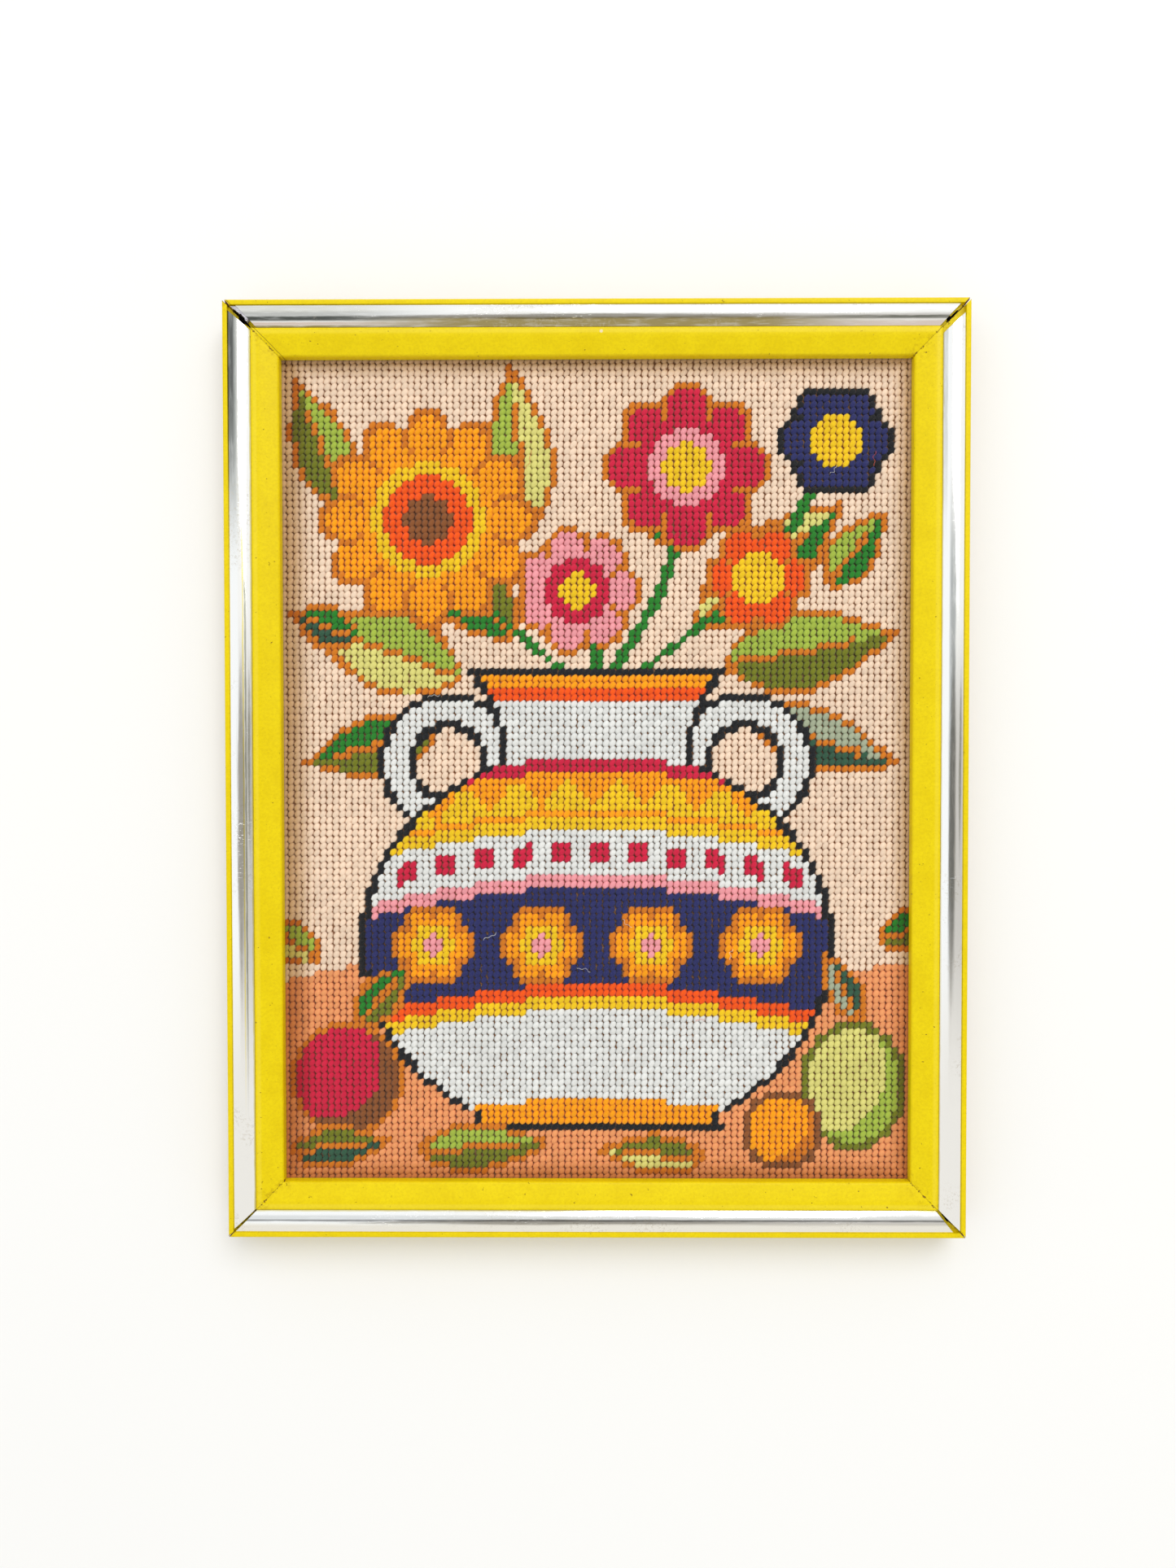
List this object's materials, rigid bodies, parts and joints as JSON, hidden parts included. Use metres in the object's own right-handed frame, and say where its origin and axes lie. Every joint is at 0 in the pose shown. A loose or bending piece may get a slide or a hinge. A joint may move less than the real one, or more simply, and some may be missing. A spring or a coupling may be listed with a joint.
{
  "type": "framed needlepoint canvas panel",
  "caption": "Wool needlepoint canvas held flat in a mitred yellow picture frame with a bright rounded metal strip along each rail; it lies face up or hangs from its top rail.",
  "frame": {"origin": "middle of the panel's outline, on the plane of the back faces of the frame's rails", "axes": "+X to the right of the picture, +Y towards its top edge, +Z out of its face; the panel lies face up"},
  "size_m": [0.289, 0.3652, 0.0188],
  "materials": {
    "wool_stitches": "wool tent stitches on open cotton canvas, matte and slightly hairy",
    "yellow_moulding": "soft wood with a smooth satin yellow face, bare at the back and in the mitres",
    "bright_strip": "polished, with fine scratches along its length"
  },
  "bodies": {
    "root": {"needlepoint_canvas": "wool_stitches", "rail_top": "yellow_moulding", "rail_bottom": "yellow_moulding", "rail_left": "yellow_moulding", "rail_right": "yellow_moulding", "strip_top": "bright_strip", "strip_bottom": "bright_strip", "strip_left": "bright_strip", "strip_right": "bright_strip"}
  },
  "joints": []
}
